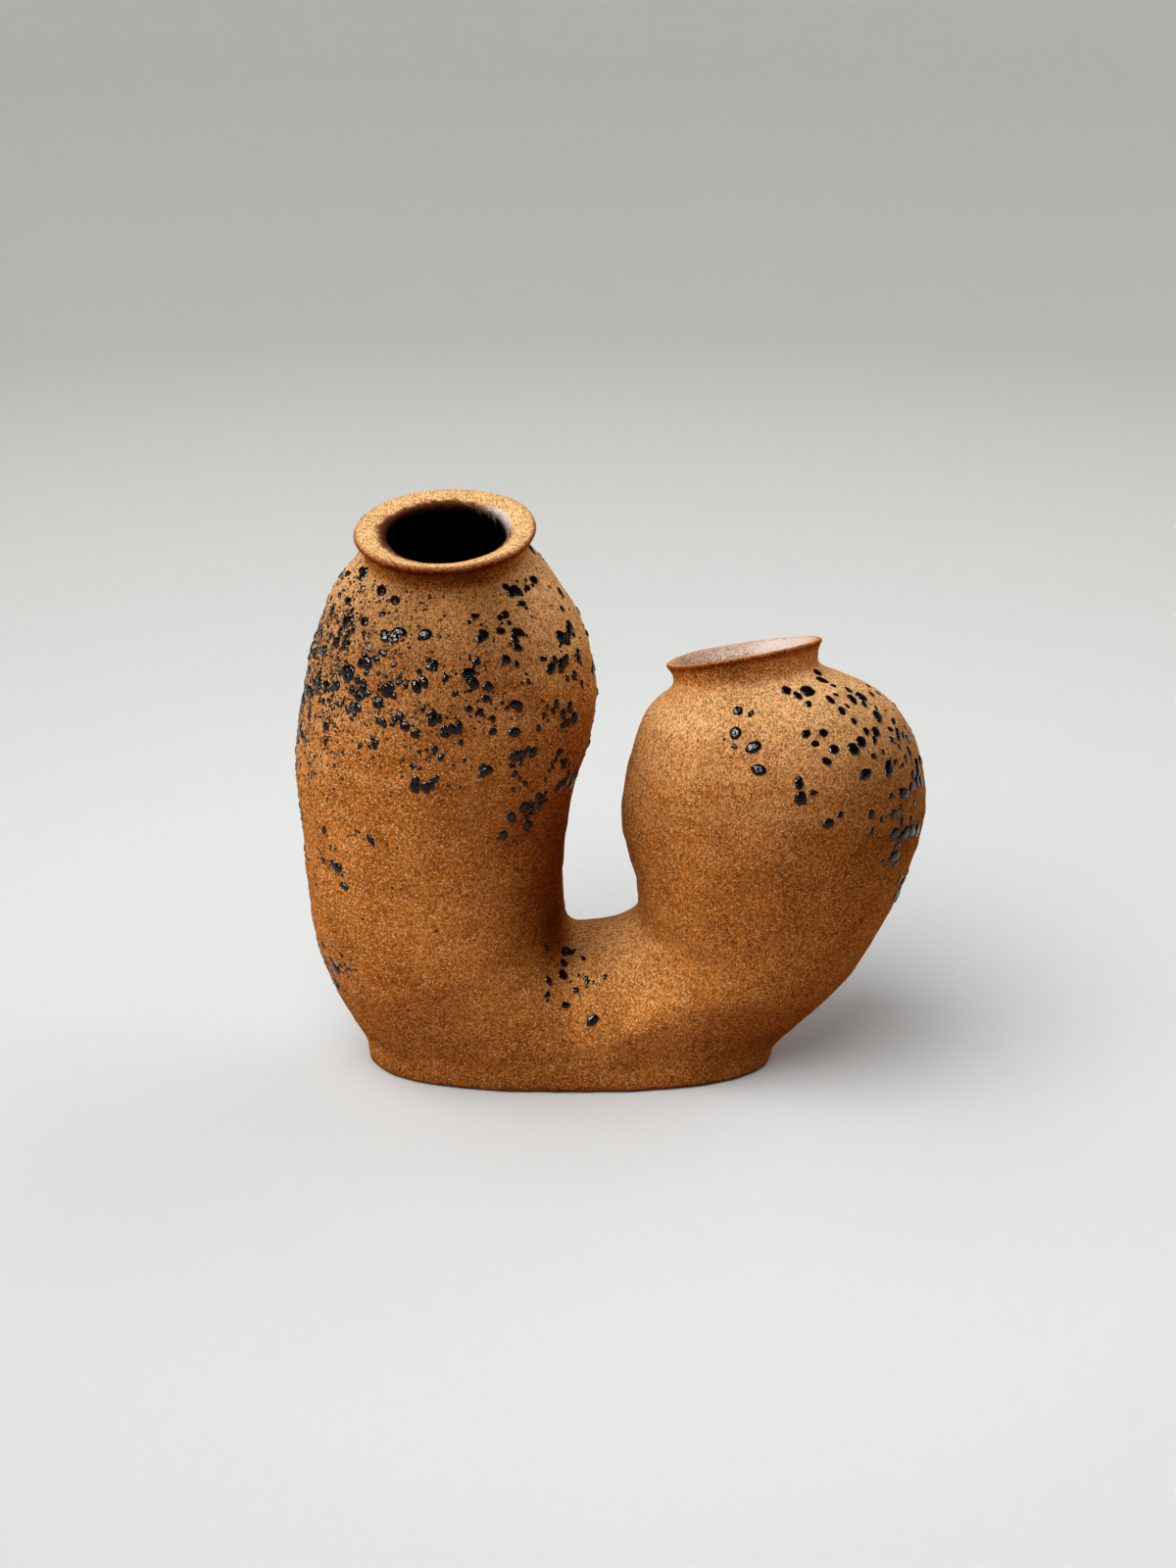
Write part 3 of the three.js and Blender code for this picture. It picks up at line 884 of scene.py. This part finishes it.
for label, rate in rates.items():
    skin.attributes.new(label, "FLOAT", "POINT").data.foreach_set("value", rate / SQUARE_CM)
    print(label, "at most", round(rate.max(), 1), "to the square centimetre")

# %% [markdown]
# ## Scatter the drops
# Thousands of drops are too many to place by hand, and no two are alike. So a Geometry Nodes
# tree scatters points on the skin by those numbers, adds a few splashes round each, sets a
# flat little puddle on every point, turned and sized at random, joins them into one mesh, and
# then pushes that mesh about along the wall by a noise, so that every drop gets its own ragged
# outline. The puddle is a closed form of a few dozen faces whose skirt reaches under the clay,
# so that no drop hovers where the wall curves.


# %% A flat puddle for one drop
def puddle(name, sides, rings):
    """A closed puddle of radius 1, through rings of radius and height, from its top to its skirt."""
    mesh = bpy.data.meshes.new(name)
    bm = bmesh.new()
    top = bm.verts.new((0, 0, 1))
    turns = [2 * math.pi * i / sides for i in range(sides)]
    rows = [[bm.verts.new((r * math.cos(t), r * math.sin(t), z)) for t in turns] for r, z in rings]
    for i in range(sides):
        j = (i + 1) % sides
        bm.faces.new((top, rows[0][i], rows[0][j]))
        for upper, lower in zip(rows, rows[1:]):
            bm.faces.new((upper[i], lower[i], lower[j], upper[j]))
    bm.faces.new(rows[-1][::-1])
    bm.to_mesh(mesh)
    bm.free()
    return add_object(name, mesh)


DROP_RINGS = ((0.4, 0.96), (0.75, 0.8), (0.98, 0.4), (1.05, -0.7))
SPECK_RINGS = ((0.7, 0.75), (1.0, -0.8))
DROP_SIDES, SPECK_SIDES = 14, 6
drop_form = puddle("drop_form", DROP_SIDES, DROP_RINGS)
speck_form = puddle("speck_form", SPECK_SIDES, SPECK_RINGS)
print(len(drop_form.data.polygons), "faces to a drop,", len(speck_form.data.polygons), "to a speck")

# %% The spatter tree: where drops land and how large they are
FLOAT_MIN, FLOAT_MAX, FLOAT_OUT = 2, 3, 1  # the number sockets of a Random Value node
CLUMP_BETWEEN, CLUMP_INSIDE = 0.4, 0.62  # the noise between clumps and inside them
CLUMP_FEWEST, CLUMP_MOST = 0.2, 1.9  # what the rate is multiplied by there
RANDOM_DRAWS = 6
spatter = new_tree("Glaze spatter", {
    "Rate": "String", "Form": "Object", "Finish": "Material", "Seed": "Int", "Rareness": "Float",
    "Smallest radius": "Float", "Largest radius": "Float", "Lowest": "Float", "Highest": "Float",
    "Most crowded": "Float", "Least apart": "Float",
    "Clump size": "Float", "Most mounds": "Float", "Raggedness": "Float", "Rag size": "Float",
})
given = add_node(spatter, "NodeGroupInput").outputs
place = add_node(spatter, "GeometryNodeInputPosition").outputs[0]
rate_here = add_node(spatter, "GeometryNodeInputNamedAttribute", {"Name": given["Rate"]}, data_type="FLOAT")
clump_scale = add_node(spatter, "ShaderNodeMath", {0: 1.0, 1: given["Clump size"]}, operation="DIVIDE")
clump = add_node(spatter, "ShaderNodeTexNoise", {
    "Vector": place, "Scale": clump_scale.outputs[0], "Detail": 1.0,
})
clumped = add_node(spatter, "ShaderNodeMapRange", {
    "Value": clump.outputs[0], "From Min": CLUMP_BETWEEN, "From Max": CLUMP_INSIDE,
    "To Min": CLUMP_FEWEST, "To Max": CLUMP_MOST,
})
crowd = add_node(spatter, "ShaderNodeMath", {
    0: rate_here.outputs[0], 1: clumped.outputs[0],
}, operation="MULTIPLY")
crowd_share = add_node(spatter, "ShaderNodeMath", {
    0: crowd.outputs[0], 1: given["Most crowded"],
}, operation="DIVIDE")
landed = add_node(spatter, "GeometryNodeDistributePointsOnFaces", {
    "Mesh": given["Geometry"], "Seed": given["Seed"], "Distance Min": given["Least apart"],
    "Density Max": given["Most crowded"], "Density Factor": crowd_share.outputs[0],
}, distribute_method="POISSON")
seeds = [
    add_node(spatter, "FunctionNodeIntegerMath", {0: given["Seed"], 1: step + 1}).outputs[0]
    for step in range(RANDOM_DRAWS)
]
luck = add_node(spatter, "FunctionNodeRandomValue", {"Seed": seeds[0]}, data_type="FLOAT")
rare = add_node(spatter, "ShaderNodeMath", {
    0: luck.outputs[FLOAT_OUT], 1: given["Rareness"],
}, operation="POWER")
radius = add_node(spatter, "ShaderNodeMapRange", {
    "Value": rare.outputs[0], "To Min": given["Smallest radius"], "To Max": given["Largest radius"],
})
noted = landed.outputs["Points"]
NOTES = {
    # what each point keeps for later: its name, kind and value
    "drop_radius": ("FLOAT", radius.outputs[0]),
    "drop_normal": ("FLOAT_VECTOR", landed.outputs["Normal"]),
}
for label, (kind, value) in NOTES.items():
    noted = add_node(spatter, "GeometryNodeStoreNamedAttribute", {
        "Geometry": noted, "Name": label, "Value": value,
    }, data_type=kind, domain="POINT").outputs[0]
print(len(spatter.nodes), "nodes place and size the drops")

# %% The spatter tree: splashes round each drop
NEAREST_SPLASH, FARTHEST_SPLASH = 0.6, 1.7  # from the middle of its drop, in the drop's radii
drop_radius, drop_normal = (
    add_node(spatter, "GeometryNodeInputNamedAttribute", {"Name": label}, data_type=kind).outputs[0]
    for label, (kind, _) in NOTES.items()
)
count = add_node(spatter, "FunctionNodeRandomValue", {
    FLOAT_MIN: 1.0, FLOAT_MAX: given["Most mounds"], "Seed": seeds[1],
}, data_type="FLOAT")
copies = add_node(spatter, "GeometryNodeDuplicateElements", {
    "Geometry": noted, "Amount": count.outputs[FLOAT_OUT],
}, domain="POINT")
is_splash = add_node(spatter, "ShaderNodeMath", {
    0: copies.outputs["Duplicate Index"], 1: 1.0,
}, operation="MINIMUM").outputs[0]
angle = add_node(spatter, "FunctionNodeRandomValue", {
    FLOAT_MAX: 2 * math.pi, "Seed": seeds[2],
}, data_type="FLOAT")
spin = add_node(spatter, "ShaderNodeCombineXYZ", {2: angle.outputs[FLOAT_OUT]})
spin_turn = add_node(spatter, "FunctionNodeEulerToRotation", {0: spin.outputs[0]})
stance = add_node(spatter, "FunctionNodeRotateRotation", {
    "Rotation": landed.outputs["Rotation"], "Rotate By": spin_turn.outputs[0],
}, rotation_space="LOCAL")
flown = add_node(spatter, "FunctionNodeRandomValue", {
    FLOAT_MIN: NEAREST_SPLASH, FLOAT_MAX: FARTHEST_SPLASH, "Seed": seeds[3],
}, data_type="FLOAT").outputs[FLOAT_OUT]
reach = add_node(spatter, "ShaderNodeMath", {0: flown, 1: drop_radius}, operation="MULTIPLY")
splash_reach = add_node(spatter, "ShaderNodeMath", {
    0: reach.outputs[0], 1: is_splash,
}, operation="MULTIPLY")
aside = add_node(spatter, "ShaderNodeCombineXYZ", {0: splash_reach.outputs[0]})
along_wall = add_node(spatter, "FunctionNodeRotateVector", {
    "Vector": aside.outputs[0], "Rotation": stance.outputs[0],
})
thrown_off = add_node(spatter, "GeometryNodeSetPosition", {
    "Geometry": copies.outputs[0], "Offset": along_wall.outputs[0],
})
wall = add_node(spatter, "GeometryNodeProximity", {0: given["Geometry"]}, target_element="FACES")
seated = add_node(spatter, "GeometryNodeSetPosition", {
    "Geometry": thrown_off.outputs[0], "Position": wall.outputs["Position"],
})
print(len(spatter.nodes), "nodes with the splashes")

# %% The spatter tree: size the puddle of each point
MOST_SHRUNK, LEAST_SHRUNK = -0.65, -0.2  # what is added to a splash's share of its drop's radius
LEAST_STRETCH, MOST_STRETCH = 0.8, 1.3  # one way across is multiplied by it, the other divided
shrink = add_node(spatter, "FunctionNodeRandomValue", {
    FLOAT_MIN: MOST_SHRUNK, FLOAT_MAX: LEAST_SHRUNK, "Seed": seeds[4],
}, data_type="FLOAT").outputs[FLOAT_OUT]
kept = add_node(spatter, "ShaderNodeMath", {0: shrink, 1: is_splash, 2: 1.0}, operation="MULTIPLY_ADD")
own_radius = add_node(spatter, "ShaderNodeMath", {
    0: drop_radius, 1: kept.outputs[0],
}, operation="MULTIPLY").outputs[0]
stretch = add_node(spatter, "FunctionNodeRandomValue", {
    FLOAT_MIN: LEAST_STRETCH, FLOAT_MAX: MOST_STRETCH, "Seed": seeds[5],
}, data_type="FLOAT").outputs[FLOAT_OUT]
long_way = add_node(spatter, "ShaderNodeMath", {0: own_radius, 1: stretch}, operation="MULTIPLY")
short_way = add_node(spatter, "ShaderNodeMath", {0: own_radius, 1: stretch}, operation="DIVIDE")
rise = add_node(spatter, "ShaderNodeMapRange", {
    "Value": own_radius, "From Min": given["Smallest radius"], "From Max": given["Largest radius"],
    "To Min": given["Lowest"], "To Max": given["Highest"],
})
puddle_size = add_node(spatter, "ShaderNodeCombineXYZ", {
    0: long_way.outputs[0], 1: short_way.outputs[0], 2: rise.outputs[0],
})
print(len(spatter.nodes), "nodes with the sizes")

# %% The spatter tree: set a puddle on each point and make its outline ragged
form = add_node(spatter, "GeometryNodeObjectInfo", {"Object": given["Form"]})
puddles = add_node(spatter, "GeometryNodeInstanceOnPoints", {
    "Points": seated.outputs[0], "Instance": form.outputs["Geometry"],
    "Rotation": stance.outputs[0], "Scale": puddle_size.outputs[0],
})
joined = add_node(spatter, "GeometryNodeRealizeInstances", {"Geometry": puddles.outputs[0]})
rag_scale = add_node(spatter, "ShaderNodeMath", {0: 1.0, 1: given["Rag size"]}, operation="DIVIDE")
rag = add_node(spatter, "ShaderNodeTexNoise", {
    "Vector": place, "Scale": rag_scale.outputs[0], "Detail": 1.0,
})
rag_way = add_node(spatter, "ShaderNodeVectorMath", {
    0: rag.outputs["Color"], 1: (0.5, 0.5, 0.5),
}, operation="SUBTRACT")
off_wall = add_node(spatter, "ShaderNodeVectorMath", {
    0: rag_way.outputs[0], 1: drop_normal,
}, operation="PROJECT")
in_wall = add_node(spatter, "ShaderNodeVectorMath", {
    0: rag_way.outputs[0], 1: off_wall.outputs[0],
}, operation="SUBTRACT")
rag_move = add_node(spatter, "ShaderNodeVectorMath", {
    0: in_wall.outputs[0], "Scale": given["Raggedness"],
}, operation="SCALE")
ragged = add_node(spatter, "GeometryNodeSetPosition", {
    "Geometry": joined.outputs[0], "Offset": rag_move.outputs[0],
}).outputs[0]
for label in NOTES:
    ragged = add_node(spatter, "GeometryNodeRemoveAttribute", {
        "Geometry": ragged, "Name": label,
    }).outputs[0]
smooth = add_node(spatter, "GeometryNodeSetShadeSmooth", {"Geometry": ragged})
finished = add_node(spatter, "GeometryNodeSetMaterial", {
    "Geometry": smooth.outputs[0], "Material": given["Finish"],
})
add_node(spatter, "NodeGroupOutput", {0: finished.outputs[0]})
print(len(spatter.nodes), "nodes in the whole spatter tree")

# %% Throw the glaze
SPATTER_KINDS = {
    "drops": {
        "Form": drop_form, "Rareness": 1.4, "Smallest radius": 0.5 * MM, "Largest radius": 2.3 * MM,
        "Most crowded": 24 / SQUARE_CM, "Least apart": 1.8 * MM,
        "Lowest": 0.3 * MM, "Highest": 0.8 * MM, "Clump size": 8 * MM, "Most mounds": 3.4,
        "Raggedness": 1.4 * MM, "Rag size": 1.7 * MM,
    },
    "spray": {
        "Form": speck_form, "Rareness": 2.0, "Smallest radius": 0.18 * MM, "Largest radius": 0.75 * MM,
        "Most crowded": 200 / SQUARE_CM, "Least apart": 0.3 * MM,
        "Lowest": 0.12 * MM, "Highest": 0.26 * MM, "Clump size": 7 * MM, "Most mounds": 1.5,
        "Raggedness": 0.4 * MM, "Rag size": 0.9 * MM,
    },
}
RIGHT_DROPS = {
    # larger and further apart than on the tall jar
    "Rareness": 1.2, "Smallest radius": 1.0 * MM, "Largest radius": 2.7 * MM, "Least apart": 4.0 * MM,
    "Most mounds": 2.0,
}
THROW_SEEDS = {"left": 40, "right": 297}
shaped = add_object("shaped_skin", skin)
spatter_pieces = []
for jar in JARS:
    for kind, values in SPATTER_KINDS.items():
        larger = RIGHT_DROPS if (jar, kind) == ("right", "drops") else {}
        thrown = run_tree(spatter, shaped, {
            **values, **larger, "Rate": f"{jar}_{kind}", "Finish": drop_finish, "Seed": THROW_SEEDS[jar],
        })
        thrown.name = f"{jar}_glaze_{kind}"
        piece = add_object(thrown.name, thrown)
        spatter_pieces.append(piece)
        mounds = len(thrown.polygons) // len(values["Form"].data.polygons)
        print(piece.name, len(thrown.polygons), "faces in", mounds, "mounds")
for helper in (shaped, drop_form, speck_form):
    bpy.data.objects.remove(helper)

# %% [markdown]
# ## Tie the pieces to the solids
# Every piece rides on the vase's one body. The clay pieces stand for their solids, which are
# hidden.

# %% Ride and replace
for name, clay in clay_pieces.items():
    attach(clay, "root")
    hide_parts(name)
for piece in spatter_pieces:
    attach(piece, "root")
print(len(clay_pieces), "clay pieces and", len(spatter_pieces), "of glaze ride on root")

# %% [markdown]
# ## Floor
# The vase stands on a wide sheet of pale, matt paper. Its colour is painted greyer with
# distance, as painted shade for the light that falls off away from the vase. A disc serves as
# the sheet, because its colour can follow the distance from the vase and so looks alike from
# every side. What the camera and mirrors see is this pale paper. The light that it throws back
# up at the vase is held down by Light Path, as black cards beside a real set hold it down, so
# that the vase's shaded sides stay dark.

# %% Paper floor
FLOOR_RADIUS = 9.0  # metres
FLOOR_SIDES = 96
FLOOR_DROP = 0.05 * MM
PAPER_ROUGHNESS, PAPER_MIRROR = 0.9, 0.1
PAPER_FALLOFF_TONES = ((0.25, "cdcfce"), (0.7, "b9bab6"), (1.15, "a0a19c"), (2.4, "989993"))  # by metres away; greyer with distance as painted shade for the light's fall-off
THROWN_BACK = "764a2c"


def paper(name):
    """Matt paper, painted greyer with distance for the light's fall-off, that throws little light back."""
    material, tree, shader = new_material(name)
    place = add_node(tree, "ShaderNodeTexCoord").outputs["Object"]
    distance = add_node(tree, "ShaderNodeVectorMath", {0: place}, operation="LENGTH")
    farthest = PAPER_FALLOFF_TONES[-1][0]
    far = add_node(tree, "ShaderNodeMath", {
        0: distance.outputs["Value"], 1: farthest,
    }, operation="DIVIDE")
    tone = add_node(tree, "ShaderNodeValToRGB", {0: far.outputs[0]}, ramp=[
        (metres / farthest, hex_colour) for metres, hex_colour in PAPER_FALLOFF_TONES
    ])
    ray = add_node(tree, "ShaderNodeLightPath").outputs
    seen = ray["Is Camera Ray"]
    for kind in ("Is Glossy Ray", "Is Transmission Ray"):
        seen = add_node(tree, "ShaderNodeMath", {0: seen, 1: ray[kind]}, operation="MAXIMUM").outputs[0]
    colour = add_node(tree, "ShaderNodeMix", {
        0: seen, MIX_A: linear(THROWN_BACK), MIX_B: tone.outputs[0],
    }, data_type="RGBA")
    set_inputs(tree, shader, {
        "Base Color": colour.outputs[MIX_OUT], "Roughness": PAPER_ROUGHNESS,
        "Specular IOR Level": PAPER_MIRROR,
    })
    return material


floor_mesh = bpy.data.meshes.new("paper_floor")
disc = bmesh.new()
bmesh.ops.create_circle(disc, cap_ends=True, segments=FLOOR_SIDES, radius=FLOOR_RADIUS)
disc.to_mesh(floor_mesh)
disc.free()
floor_mesh.transform(Matrix.Translation((0, 0, -FLOOR_DROP)))
floor_mesh.materials.append(paper("matt paper"))
floor = add_object("paper_floor", floor_mesh)
print("floor radius in m:", FLOOR_RADIUS)

# %% [markdown]
# ## Light and camera
# Daylight comes through a wall of windows on the left, which is as soft as light gets: the
# left flanks are bright, the fronts in half light and the sides that face right in brown shade.
# A world whose strength follows the direction does that without a lamp's edge or fall-off. A
# narrower window behind on the right draws the vase's right edge. A wide sun lamp, high on the
# front left, stands for the open sky. Together they are set so that a white card lying on the
# floor just renders white. Rough clay and paper only know such a wall as one glow, but glossy
# glaze mirrors it, so rays that come from a gloss see what is there: a dark room and the bright
# panes of a window. The camera stands a metre away, higher than the rims, and looks down as
# the photograph does.

# %% Soft light
ROOM_STRENGTH = 0.02
WINDOWS = (
    # direction, strength, and the cosines from it at which the light begins and is whole
    (Vector((-0.85, -0.2, 0.48)).normalized(), 1.1, 0.3, 0.8),
    (Vector((0.85, 0.48, 0.2)).normalized(), 2.2, 0.65, 0.98),
)
SKY_TOWARDS = Vector((-0.38, -0.4, 0.83)).normalized()
SKY_STRENGTH = 2.6
SKY_WIDTH = 60  # degrees
world = bpy.data.worlds.new("window_walls")
world.use_nodes = True
room = world.node_tree
direction = add_node(room, "ShaderNodeTexCoord").outputs["Generated"]
soft_light = ROOM_STRENGTH
for towards, strength, begins, whole in WINDOWS:
    cosine = add_node(room, "ShaderNodeVectorMath", {0: direction, 1: towards}, operation="DOT_PRODUCT")
    glow = add_node(room, "ShaderNodeMapRange", {
        "Value": cosine.outputs["Value"], "From Min": begins, "From Max": whole, "To Max": strength,
    }, interpolation_type="SMOOTHSTEP")
    soft_light = add_node(room, "ShaderNodeMath", {0: soft_light, 1: glow.outputs[0]}).outputs[0]
lamp = bpy.data.lights.new("open_sky", "SUN")
lamp.angle = math.radians(SKY_WIDTH)
lamp.energy = SKY_STRENGTH
light = add_object("open_sky", lamp)
light.rotation_euler = (-SKY_TOWARDS).to_track_quat("-Z", "Y").to_euler()
light.visible_glossy = False
print(len(WINDOWS), "windows and one patch of sky")

# %% What glossy glaze mirrors
PANE_TOWARDS = Vector((-0.58, -0.58, 0.57)).normalized()
PANE_HALF_WIDTH, PANE_HALF_HEIGHT = 0.22, 0.16  # seen from a distance of 1
PANE_BAR = 0.03  # half the width of the bars of its cross
PANE_GLOW = 90.0
MIRRORED_ROOM = 0.03
across = PANE_TOWARDS.cross(Vector((0, 0, 1))).normalized()
facing = add_node(room, "ShaderNodeVectorMath", {
    0: direction, 1: PANE_TOWARDS,
}, operation="DOT_PRODUCT").outputs["Value"]
in_pane = add_node(room, "ShaderNodeMath", {0: facing, 1: 0.0}, operation="GREATER_THAN").outputs[0]
for way, half in ((across, PANE_HALF_WIDTH), (across.cross(PANE_TOWARDS), PANE_HALF_HEIGHT)):
    along = add_node(room, "ShaderNodeVectorMath", {0: direction, 1: way}, operation="DOT_PRODUCT")
    slope = add_node(room, "ShaderNodeMath", {0: along.outputs["Value"], 1: facing}, operation="DIVIDE")
    off_middle = add_node(room, "ShaderNodeMath", {0: slope.outputs[0]}, operation="ABSOLUTE")
    between_bars = add_node(room, "ShaderNodeMath", {
        0: off_middle.outputs[0], 1: (half + PANE_BAR) / 2, 2: (half - PANE_BAR) / 2,
    }, operation="COMPARE")
    in_pane = add_node(room, "ShaderNodeMath", {
        0: in_pane, 1: between_bars.outputs[0],
    }, operation="MULTIPLY").outputs[0]
mirrored = add_node(room, "ShaderNodeMath", {
    0: in_pane, 1: PANE_GLOW, 2: MIRRORED_ROOM,
}, operation="MULTIPLY_ADD")
is_mirror = add_node(room, "ShaderNodeLightPath").outputs["Is Glossy Ray"]
light_here = add_node(room, "ShaderNodeMix", {
    "Factor": is_mirror, "A": soft_light, "B": mirrored.outputs[0],
}, data_type="FLOAT")
set_inputs(room, room.nodes["Background"], {"Strength": light_here.outputs[0], "Color": linear("ffffff")})
bpy.context.scene.world = world
bpy.context.scene.view_settings.view_transform = "Standard"
print(len(room.nodes), "nodes in the world")

# %% Camera
CAMERA_AIM = Vector((6.54, 0, 107.4)) * MM
CAMERA_DISTANCE = 1.05  # metres
CAMERA_PITCH = math.radians(22)
PHOTO_LONG_SIDE = 1600
FOCAL_PIXELS = 3000
SENSOR_WIDTH = 36  # mm, along the photograph's long side
towards_camera = Vector((0, -math.cos(CAMERA_PITCH), math.sin(CAMERA_PITCH)))
camera_data = bpy.data.cameras.new("camera")
camera_data.sensor_width = SENSOR_WIDTH
camera_data.lens = SENSOR_WIDTH * FOCAL_PIXELS / PHOTO_LONG_SIDE
camera = add_object("camera", camera_data)
camera.location = CAMERA_AIM + CAMERA_DISTANCE * towards_camera
camera.rotation_euler = (math.pi / 2 - CAMERA_PITCH, 0, 0)
bpy.context.scene.camera = camera
print("lens in mm:", camera_data.lens)
